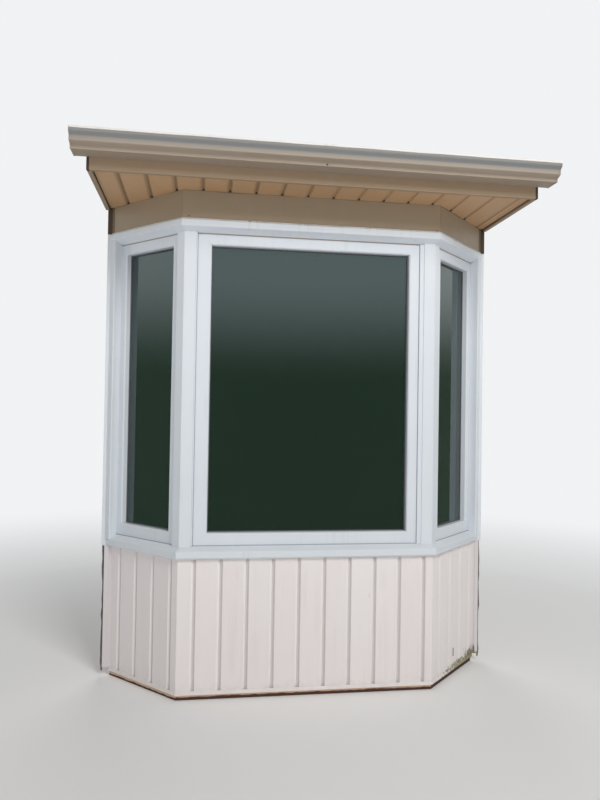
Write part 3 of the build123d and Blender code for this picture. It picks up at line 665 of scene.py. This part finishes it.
def heads(name, spots, normal, radius, rise, finish, sides=8):
    """Domed fastener heads: rings of radius * sin(t) at a height of rise * cos(t), closed by a pole and a base."""
    normal = np.asarray(normal, float)
    across = np.cross(normal, (0.3, 0.5, 0.81))
    across /= np.linalg.norm(across)
    beside = np.cross(normal, across)
    tilt = np.radians([30.0, 60.0, 90.0])[:, None, None]
    turn = (np.arange(sides) * 2 * math.pi / sides)[:, None]
    rings = radius * np.sin(tilt) * (np.cos(turn) * across + np.sin(turn) * beside) + rise * np.cos(tilt) * normal
    one = np.concatenate([[rise * normal], rings.reshape(-1, 3)])
    last = 1 + 2 * sides
    faces = [[0, 1 + side, 1 + (side + 1) % sides] for side in range(sides)]
    faces += [[1 + corner for corner in face] for face in ring_faces(3, sides)]
    faces += [[last + side for side in range(sides)]]
    piece(name, [(spot + one, faces) for spot in np.asarray(spots, float)], finish)


print("mesh helpers ready")

# %% [markdown]
# ## Gaskets round the panes
# A thin dark rubber lip closes the joint between each glazing bead and its pane. It is a quarter-round profile
# carried round the daylight opening: at each corner it is mitred, so the profile moves along the diagonal.

# %% Gaskets
WINDOW_BOTTOM, WINDOW_TOP = 0.724, 2.258
FRAME_BORDER, SIDE_STILE = 0.066, 0.046
GLASS_BACK = 0.045            # outer pane behind the bay's face
FRONT_UNIT_HALF = 0.565
SIDE_UNIT = (-0.001, 0.44495)  # a side window's edges, along the bay's face from the wall


def side_light(sign):
    """A side's row of LIGHTS."""
    middle = on_side(sign, [(sum(SIDE_UNIT) / 2, 0)])[0]
    half = (SIDE_UNIT[1] - SIDE_UNIT[0]) / 2 - SIDE_STILE
    return (*middle, 0), (sign * TURN, TURN, 0), (sign * TURN, -TURN, 0), half


# For each light the middle of its width on the bay's face, the ways along and out, and half its width.
LIGHTS = {
    "left": side_light(-1),
    "centre": ((0, -PROJECTION, 0), (1, 0, 0), (0, -1, 0), FRONT_UNIT_HALF - FRAME_BORDER),
    "right": side_light(1),
}


def gasket(side, lip=0.005, rise=0.004):
    """Quarter-round carried round a rectangle: point = corner - inwards * diagonal + forward * outward."""
    *vectors, half = LIGHTS[side]
    middle, along, outward = np.array(vectors)
    low, high = WINDOW_BOTTOM + FRAME_BORDER, WINDOW_TOP - FRAME_BORDER
    signs = np.array([(-1, -1), (1, -1), (1, 1), (-1, 1)], float)
    centre = middle - outward * GLASS_BACK + UP * (low + high) / 2
    corner = centre + signs[:, :1] * half * along + signs[:, 1:] * (high - low) / 2 * UP
    diagonal = signs[:, :1] * along + signs[:, 1:] * UP
    profile = quarter(lip, rise, (-0.001, -0.0003))
    points = corner[:, None, :] - profile[:, :1] * diagonal[:, None, :] + profile[:, 1:] * outward
    skin = ring_faces(*points.shape[:2], closed_rows=True)
    piece(side + "_gasket", [(points, skin)], "gasket_rubber")


for side in LIGHTS:
    gasket(side)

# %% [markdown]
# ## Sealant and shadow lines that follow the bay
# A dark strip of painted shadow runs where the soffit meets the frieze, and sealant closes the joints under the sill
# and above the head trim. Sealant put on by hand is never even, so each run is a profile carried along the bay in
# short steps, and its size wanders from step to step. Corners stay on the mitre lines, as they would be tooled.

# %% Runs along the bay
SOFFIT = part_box("frieze_centre")[1].z
HEAD_TRIM_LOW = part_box("head_trim_centre")[0].z
HEAD_TRIM_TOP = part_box("head_trim_centre")[1].z
SILL_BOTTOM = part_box("sill_centre")[0].z
FRIEZE_FACE = 0.031
FRIEZE_BACK = FRIEZE_FACE - 0.001  # where a strip on the frieze starts, just inside it
SEALANT = 0.004               # size of a bead of sealant
PLACES, OUTWARDS = bay_line(0.03)


def run(name, profile, least, most, finish):
    """A profile along the whole bay, whose size wanders between two factors."""
    piece(name, [swept(PLACES, OUTWARDS, profile, uneven(len(PLACES), least, most))], finish)


# Painted shadow: a dark strip along the line where soffit and frieze meet.
upper, lower, outer = SOFFIT + 0.0003, SOFFIT - 0.002, FRIEZE_FACE + 0.002
seam = [(FRIEZE_BACK, upper), (FRIEZE_BACK, lower), (outer, lower), (outer, upper)]
run("soffit_shadow_line", seam, 0.2, 1.1, "frieze_channel")
bead = quarter(SEALANT, -SEALANT, (-0.0005, 0.0005))
run("head_sealant", bead + (FRIEZE_FACE, HEAD_TRIM_TOP + SEALANT), 0.7, 1.5, "sealant")
run("sill_sealant", bead + (SIDING_FACE, SILL_BOTTOM), 0.6, 1.5, "sealant")

# %% [markdown]
# ## Joints at the head and the foot of each window
# A window stands in its opening with a narrow joint under the head trim and another on the sill. Both lie back from
# the light, so each is painted shade: a thin dark bar across one unit's face, from end to end.

# %% Painted shade in the joints above and below the windows
UNIT_FACE = -0.012            # a window's face, back from the bay's
SIDE_JOINT = (0.007, 0.438)   # a side joint's ends, from the wall


def across_units(low, high, thick=0.0025):
    """Three flat bars, one on the face of each unit."""
    back = -PROJECTION - UNIT_FACE
    plans = [rectangle(-FRONT_UNIT_HALF, FRONT_UNIT_HALF, back, back - thick)]
    plans += [on_side(sign, rectangle(*SIDE_JOINT, UNIT_FACE, UNIT_FACE + thick)) for sign in SIGNS]
    return [bar(plan, low, high) for plan in plans]


FOOT = WINDOW_BOTTOM + 0.004
# Painted shade: dark bars in the joints under the head trims and on the sills.
piece("head_joints", across_units(HEAD_TRIM_LOW - 0.0033, HEAD_TRIM_LOW), "head_joint_shade")
piece("sill_joints", across_units(FOOT, FOOT + 0.0038), "foot_joint_shade")

# %% [markdown]
# ## Cover strips and casing tops
# A flat strip covers the joint between the front window and each corner post, a wider one on the right, and a dark
# line of painted shade runs beside it. Over each wall casing a small wedge closes the space up to the head trim's
# sloped underside. It has the casing's own plan, and each corner's height follows that slope.

# %% Cover strips and wedges
POST_EDGE = FRONT_HALF - 0.057
NARROW, WIDE = 0.0055, 0.021
# For each strip its two edges, how far its back and front stand out from the bay's face, and its foot.
STRIPS = (
    ("post_cover_strips", "white_vinyl",
     ((-POST_EDGE, -POST_EDGE + NARROW, -0.020, -0.0005, FOOT),
      (POST_EDGE - WIDE, POST_EDGE, UNIT_FACE, -0.0045, FOOT))),
    # Painted shade: the dark line beside each cover strip.
    ("cover_strip_joints", "foot_joint_shade",
     ((-POST_EDGE + NARROW, -POST_EDGE + NARROW + 0.0025, -0.020, -0.0065, FOOT),
      (POST_EDGE - WIDE - 0.003, POST_EDGE - WIDE, UNIT_FACE, -0.0105, FOOT + 0.004))),
)
for name, finish, strips in STRIPS:
    shapes = [bar(rectangle(start, stop, -PROJECTION - back, -PROJECTION - front), foot, HEAD_TRIM_LOW)
              for start, stop, back, front, foot in strips]
    piece(name, shapes, finish)

CASING_FACE, CASING_INNER, CASING_BEVEL = 0.035, 0.006, 0.004
TRIM_FACE, TRIM_DROP = 0.037, 0.022
TRIM_RISE = TRIM_DROP / (TRIM_FACE - UNIT_FACE)


def casing_wedge(sign):
    """The casing's plan at the head trim's lower edge, and again on the slope above it."""
    along = np.array([-CASING_FACE, 0.0, CASING_INNER, CASING_INNER, CASING_INNER - CASING_BEVEL])
    out = np.array([CASING_FACE, 0.0, 0.0, CASING_FACE - CASING_BEVEL, CASING_FACE])
    slope = HEAD_TRIM_LOW + (out - UNIT_FACE) * TRIM_RISE
    return bar(on_side(sign, np.column_stack([along, out])), HEAD_TRIM_LOW - 0.0005, slope)


piece("casing_wedges", [casing_wedge(sign) for sign in SIGNS], "white_vinyl")

# %% [markdown]
# ## Dark ends of the frieze, the fascia and the soffit
# At the wall the frieze stops in a brown channel with a darker foot that is turned onto the wall; the foot's dark
# brown is painted shade. The fascia's ends show a dark return. The outermost soffit panel leaves a gap beside the
# eave's end board, and where the soffit boards are cut to the bay, each groove between them ends in a small pit; gap
# and pits are dark pieces of painted shade.

# %% Channels at the ends
CHANNEL_WIDTH = 0.026
CHANNEL_FACE = 0.034
CHANNEL_FOOT = 0.010
FOOT_END = 1.040              # from the middle
feet, channels = [], []
for sign in SIGNS:
    turned = (sign * (WALL_HALF + CHANNEL_FACE * WALL_MITRE - CHANNEL_FOOT), -CHANNEL_FOOT)
    inner = (sign * (WALL_HALF + FRIEZE_BACK * WALL_MITRE), 0)
    tip = on_side(sign, [(CHANNEL_WIDTH - out, out) for out in (CHANNEL_FACE, FRIEZE_BACK)])
    plans = [(sign * FOOT_END, 0), (sign * FOOT_END, -CHANNEL_FOOT), turned, inner], [inner, turned, *tip]
    for shapes, plan in zip((feet, channels), plans):
        shapes.append(bar(plan, HEAD_TRIM_TOP, SOFFIT - 0.001))
# Painted shade: the dark foot where the frieze's channel meets the wall.
piece("frieze_end_feet", feet, "dark_channel")
piece("frieze_end_channels", channels, "frieze_channel")

# %% Gaps, returns and pits of the eave
END_BOARD, END_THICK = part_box("eave_end_boards"), 0.020
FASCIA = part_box("fascia_board")
GUTTER_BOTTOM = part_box("gutter")[0].z
GAP = 0.005
RETURN_WIDTH, RETURN_DEPTH = 0.011, 0.018
GROOVE_DEPTH = 0.007
PIT_RADIUS = 0.0092


def both_ends(inner, outer, back, front, low, high):
    """The same bar at the left and the right end, between two distances from the middle."""
    return [bar(rectangle(sign * inner, sign * outer, back, front), low, high) for sign in SIGNS]


# Painted shade: a dark strip in the gap beside each end board.
gap_end = END_BOARD[1].x - END_THICK
gaps = both_ends(gap_end - GAP, gap_end, END_BOARD[0].y, -0.001, SOFFIT - 0.0008, SOFFIT + 0.001)
piece("soffit_end_gaps", gaps, "dark_channel")
corner, front = FASCIA[1].x, FASCIA[0].y
returns = both_ends(corner - RETURN_WIDTH, corner + 0.0005, front - 0.0012, front + RETURN_DEPTH,
                    FASCIA[0].z - 0.0005, GUTTER_BOTTOM - 0.001)
piece("fascia_returns", returns, "dark_channel")
# Painted shade: a dark head in the open pit at the end of each soffit groove.
groove_x = SOFFIT_SHIFT + BOARD_PITCH * np.arange(-7, 8)
pit_y = np.maximum(-PROJECTION - FRIEZE_FACE, np.abs(groove_x) - WALL_HALF - FRIEZE_FACE * WALL_MITRE)
pits = np.column_stack([groove_x, pit_y - PIT_RADIUS, np.full(len(groove_x), SOFFIT + GROOVE_DEPTH)])
heads("soffit_pits", pits, (0, 0, -1), PIT_RADIUS, GROOVE_DEPTH + 0.002, "dark_channel", sides=12)

# %% [markdown]
# ## Fixings and sealant beside the bay
# Small dark nail heads hold the frieze's cover and the gutter. A short slot low in the right side's siding is a thin
# dark bar of painted shade. Where the bay meets the house wall a bead of old, dark sealant follows the siding's
# strip.
# It is an upright profile whose width and thickness wander as the height rises.

# %% Nail heads, slot and wall sealant
OUTWARD = (0, -1, 0)
nails = [(0.627, -PROJECTION - FRIEZE_FACE, 2.312), (-0.612, -PROJECTION - FRIEZE_FACE, 2.316)]
heads("frieze_nails", nails, OUTWARD, 0.0035, 0.0015, "dark_channel")
gutter_nail = (0.003, FASCIA[0].y - 0.084, GUTTER_BOTTOM + 0.007)
heads("gutter_nail", [gutter_nail], OUTWARD, 0.0045, 0.002, "dark_channel")
# Painted shade: a thin dark bar stands for the slot's opening.
slot_plan = on_side(1, rectangle(0.2335, 0.2425, SIDING_FACE - 0.001, SIDING_FACE + 0.0006))
piece("siding_slot", [bar(slot_plan, 0.094, 0.137)], "dark_channel")


def upright_bead(sign, inner=1.0235, width=0.0135, thick=0.0075, low=0.024, steps=48):
    """A rounded bead against the wall: at each height the half-round profile is scaled by its own two factors."""
    turn = np.linspace(0, math.pi, 6)
    wide, deep = uneven(steps, 0.55, 1.0)[:, None], uneven(steps, 0.4, 1.0)[:, None]
    x = sign * (inner + width * wide * (1 - np.cos(turn)) / 2)
    y = -thick * deep * np.sin(turn)
    z = np.linspace(low, SILL_BOTTOM, steps)[:, None] + 0 * x
    return capped(np.stack([x, y, z], axis=-1))


piece("wall_sealant", [upright_bead(sign) for sign in SIGNS], "old_sealant")

# %% [markdown]
# ## Roof covering
# The roof above the eave carries three-tab shingles in five courses. Each tab is a thin slab with a slightly uneven
# butt, a slot beside it, and a tone of its own. Joints are staggered by half a tab from course to course.

# %% Shingle tabs
COURSES = 5
TABS = 7
SLOT = 0.008
BUTT_RISE, HEAD_RISE = 0.011, 0.006
FELT = 0.003                  # how far the felt's top lies under the tabs'
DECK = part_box("roof_deck")
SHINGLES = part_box("shingles")
ROOF_RISE = 1 / 3


def roof_height(y):
    """Top of the roof deck at y: it climbs one in three towards the wall."""
    return DECK[1].z + y * ROOF_RISE


def tab(left, right, butt, head, columns=9, rows=4):
    """A slab over a patch of roof: its top falls from the butt's rise to the head's, and its edge wobbles."""
    x = np.linspace(left, right, columns)[None, :]
    climb = np.linspace(0, 1, rows)[:, None]
    wobble = random.uniform(-0.0015, 0.0015, (1, columns)) * (1 - climb)
    y = butt + (head - butt) * climb + wobble
    lift = BUTT_RISE + (HEAD_RISE - BUTT_RISE) * climb + random.uniform(-0.0008, 0.0008)
    top, under = [np.stack([x + 0 * y, y, roof_height(y) + up], axis=-1) for up in (lift, 0 * lift)]
    level, step = np.arange(columns), np.arange(rows) * columns
    loop = np.concatenate([level[:-1], step[:-1] + columns - 1, step[-1] + level[:0:-1], step[:0:-1]])
    first = (step[:-1, None] + level[:-1]).ravel()
    quads = np.stack([first, first + 1, first + columns + 1, first + columns], axis=1)
    count = rows * columns
    skirt = np.stack([loop, np.roll(loop, -1), np.roll(loop, -1) + count, loop + count], axis=1)
    return np.stack([top, under]), np.concatenate([quads, quads + count, skirt]).tolist()


def make_shingles():
    """Courses of tabs over a thin felt, with the roof's ends cut straight."""
    half, eave = SHINGLES[1].x, SHINGLES[0].y
    exposure = -eave / COURSES
    pitch = 2 * half / TABS
    shapes, tones = [], []
    for course in range(COURSES):
        butt = eave + exposure * course
        for left in np.arange(-1, TABS + 1) * pitch - half + (course % 2) * pitch / 2:
            start, stop = max(left + SLOT / 2, -half), min(left + pitch - SLOT / 2, half)
            if stop - start < SLOT:
                continue
            shapes.append(tab(start, stop, butt, butt + exposure - 0.001))
            tones.append(np.full(shapes[-1][0].size // 3, random.uniform(0.0, 1.0)))
    felt, faces = tab(-half, half, eave + 0.002, -0.0005, 2, 2)
    felt[0, :, :, 2] -= [[BUTT_RISE - FELT], [HEAD_RISE - FELT]]
    shapes.append((felt, faces))
    tones.append(np.zeros(felt.size // 3))
    field = piece("shingle_tabs", shapes, "shingle_granules", np.concatenate(tones))
    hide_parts("shingles")


make_shingles()

# %% [markdown]
# ## Drip edge and gutter fittings
# Under the shingles a folded metal strip leads water into the gutter. The gutter's end caps have a crimped rim, its
# top edge carries a pale painted highlight, and each hanger is held by a screw. The rim is a small profile carried
# round the gutter's own outline, and the pale edge is a strip of its own, because its lower line isn't straight.

# %% Drip edge
EAVE_HALF = DECK[1].x
# An angle over the deck's edge: a flange up the roof, and a leg that hangs in front of the deck.
leg_foot = DECK[0].z - 0.006
y = DECK[0].y + np.array([0.06, -0.0015, -0.0015, -0.0005, -0.0005, 0.06])
z = np.where([0, 0, 1, 1, 0, 0], leg_foot, roof_height(y) + (0.0012, 0.0012, 0, 0, 0.0002, 0.0002))
ends = [np.column_stack([np.full(6, sign * (EAVE_HALF + 0.001)), y, z]) for sign in SIGNS]
piece("drip_edge", [capped(np.stack(ends))], "gutter_metal")

# %% Gutter rims, highlight strip and hanger screws
CAP_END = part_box("gutter_end_caps")[1].x
GUTTER_BACK = FASCIA[0].y
# The bends of the gutter's outside, from the front of its floor round by its back and top to the foot of its front.
# Each is given by its distance from the gutter's back and its height above the floor.
FLOOR_FRONT, BACK_FOOT, BACK_TOP, FRONT_TOP = (0.084, 0), (0, 0), (0, 0.081), (0.127, 0.081)
BROW, SHOULDER, BELLY, FRONT_FOOT = (0.127, 0.066), (0.112, 0.044), (0.112, 0.028), (0.084, 0.013)
HANGERS = 5


def eased(start, stop, flats=6):
    """Points between two bends: height moves evenly, and the distance follows half a cosine wave."""
    share = np.linspace(0, 1, flats + 1)
    swing = (1 - np.cos(math.pi * share)) / 2
    return start + np.subtract(stop, start) * np.column_stack([swing, share])


def unit(vectors):
    """Each vector at a length of one."""
    return vectors / np.linalg.norm(vectors, axis=1)[:, None]


def make_rims(depth=0.004, lip=0.0012, wrap=0.007):
    """A crimped rim round each end cap: at each point of the outline a profile of (outwards, along X) points, where
    outwards is square to the mean of the outline's ways before and after the point."""
    corners = [FLOOR_FRONT, BACK_FOOT, BACK_TOP, FRONT_TOP]
    outline = np.concatenate([corners, eased(BROW, SHOULDER), eased(BELLY, FRONT_FOOT)])
    ahead = unit(outline - np.roll(outline, 1, axis=0)) + unit(np.roll(outline, -1, axis=0) - outline)
    outwards = unit(np.column_stack([-ahead[:, 1], ahead[:, 0]]))
    profile = [(lip, 0.0), (lip, -wrap), (-depth, -wrap), (-depth, 0.0), (-depth / 2, 0.0015)]
    shapes = []
    for sign in SIGNS:
        rings = [np.column_stack([np.full(len(outline), sign * (CAP_END + reach)),
                                  (outline + grow * outwards) * (-1, 1) + (GUTTER_BACK, GUTTER_BOTTOM)])
                 for grow, reach in profile]
        shapes.append((np.stack(rings, axis=1), ring_faces(len(outline), len(profile), closed_rows=True)))
    piece("gutter_rims", shapes, "gutter_metal")


def make_lip(height=0.0095, thick=0.0025):
    """A pale painted highlight along the gutter's top edge: a flat strip on its front whose lower edge wanders."""
    stops = np.linspace(-CAP_END, CAP_END, 61)
    places = np.stack([stops, 0 * stops + GUTTER_BACK, 0 * stops + GUTTER_BOTTOM], axis=1)
    back, top = FRONT_TOP[0] - 0.001, FRONT_TOP[1] + 0.001
    bevel, front = FRONT_TOP[0] + thick * 0.6, FRONT_TOP[0] + thick
    profile = [(back, top), (back, top - height), (bevel, top - height), (front, top - height * 0.7),
               (front, top - 0.0012), (bevel, top)]
    made = swept(places, np.tile(OUTWARD, (len(stops), 1)), profile, uneven(len(stops), 0.82, 1.0, 2))
    piece("gutter_lip_highlight", [made], "gutter_lip_highlight")


make_rims()
make_lip()
hanger_places = 2 * EAVE_HALF / HANGERS * (np.arange(HANGERS) + 0.5) - EAVE_HALF
screw_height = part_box("gutter_hangers")[0].z + 0.008
screws = [(x, GUTTER_BACK - 0.006, screw_height) for x in hanger_places]
heads("hanger_screws", screws, OUTWARD, 0.005, 0.004, "hanger_metal", sides=6)

# %% [markdown]
# ## Stage and light
# A pale floor fades into a pale surrounding, and soft lamps light the bay. The light that the surrounding casts on
# the bay is set apart from what camera, mirror and glass rays see of it, so that whites do not burn out.
#
# In an evenly pale room a pane of glass looks like a painted panel, so photographers set up a dark screen for it to
# mirror. Here one stands all round the bay, and only glossy rays see it. It is dark green at its foot, as a hedge
# would be, and fades out upwards, so that the panes get paler towards the top.

# %% Floor, screen, surroundings and lamps
PALE = (0.88, 0.89, 0.90, 1)
HEDGE = (0.09, 0.11, 0.07, 1)
SPOKES = 48
turn = np.arange(SPOKES) * 2 * math.pi / SPOKES
CIRCLE = np.stack([np.cos(turn), np.sin(turn), 0 * turn], axis=1)


def stage_mesh(name, points, faces):
    """Add a mesh that belongs to the stage and not to the bay, in the material of its name."""
    made = mesh_object(name, points.reshape(-1, 3), faces, name)
    return made


def blend_out(share, first, second):
    """Send a mix of two shaders to a material's output."""
    plug(share.tree.nodes["Material Output"], {"Surface": add("MixShader", {0: share, 1: first, 2: second})})


def make_screen(radius=2.9, whole=1.65, height=2.6):
    """An upright ring, points at radius * (cos t, sin t), seen by glossy rays alone. Above the height up to which it
    is whole it fades out to its top."""
    shader, place = begin("screen")
    hedge = add("Emission", {"Color": HEDGE, "Strength": 1.0}, place.tree)
    clear = add("BsdfTransparent", {}, place.tree)
    blend_out(spread(split(place)[2], whole, height), hedge, clear)
    points = np.stack([radius * CIRCLE, radius * CIRCLE + (0, 0, height)])
    screen = stage_mesh("screen", points, ring_faces(2, SPOKES))
    screen.visible_camera = screen.visible_diffuse = screen.visible_transmission = screen.visible_shadow = False


def make_stage():
    """A round floor of rings and spokes, whose far part glows in the surrounding's own colour."""
    shader, place = begin("studio_floor")
    plug(shader, {"Base Color": (0.88, 0.88, 0.88, 1), "Roughness": 0.9})
    distance = add("VectorMath", {0: place}, operation="LENGTH")["Value"]
    glow = add("Emission", {"Color": PALE, "Strength": 1.0}, place.tree)
    blend_out(spread(distance, 1.0, 6.5), Signal(shader.outputs[0]), glow)
    radius = np.array([2.0, 4, 7, 12, 20, 40])
    points = np.concatenate([np.multiply.outer(radius, CIRCLE).reshape(-1, 3), [(0, 0, 0)]]) + (0, 0, -0.0006)
    faces = ring_faces(len(radius), SPOKES)
    faces += [[(side + 1) % SPOKES, side, len(points) - 1] for side in range(SPOKES)]
    stage_mesh("studio_floor", points, faces)


def make_world(light=0.27):
    """Surroundings: one strength that lights the bay, another that camera, mirror and glass rays see."""
    world = bpy.data.worlds.new("studio")
    world.use_nodes = True
    tree = world.node_tree
    tree.nodes.clear()
    lit = add("Background", {"Color": (1, 1, 1, 1), "Strength": light}, tree)
    seen = add("Background", {"Color": PALE, "Strength": 1.0}, tree)
    path = add("LightPath", {}, tree)
    sees = calc("MAXIMUM", path["Is Camera Ray"], path["Is Glossy Ray"])
    sees = calc("MAXIMUM", sees, path["Is Transmission Ray"])
    surface = add("MixShader", {0: sees, 1: lit, 2: seen})
    plug(tree.nodes.new("ShaderNodeOutputWorld"), {"Surface": surface})
    bpy.context.scene.world = world


def soft_lamp(name, place, target, size, power, colour=(1, 1, 1)):
    """A square area lamp that faces a point."""
    data = bpy.data.lights.new(name, "AREA")
    data.shape, data.size, data.energy, data.color = "SQUARE", size, power, colour
    lamp = link(bpy.data.objects.new(name, data))
    lamp.location = place
    lamp.rotation_euler = (Vector(target) - Vector(place)).to_track_quat("-Z", "Y").to_euler()
    lamp.visible_transmission = lamp.visible_glossy = False


make_stage()
make_screen()
make_world()
soft_lamp("key", (1.6, -4.8, 5.2), (0, -0.3, 1.0), 2.4, 208.0, (1.0, 0.985, 0.96))
soft_lamp("fill", (-1.8, -6.4, 1.2), (0, -0.2, 0.8), 3.0, 45.0, (0.95, 0.975, 1.0))
soft_lamp("back", (0.0, 4.5, 4.4), (0, 0, 1.4), 3.5, 90.0)
print("stage, surroundings and lamps made")

# %% End of the scene
print("scene built")
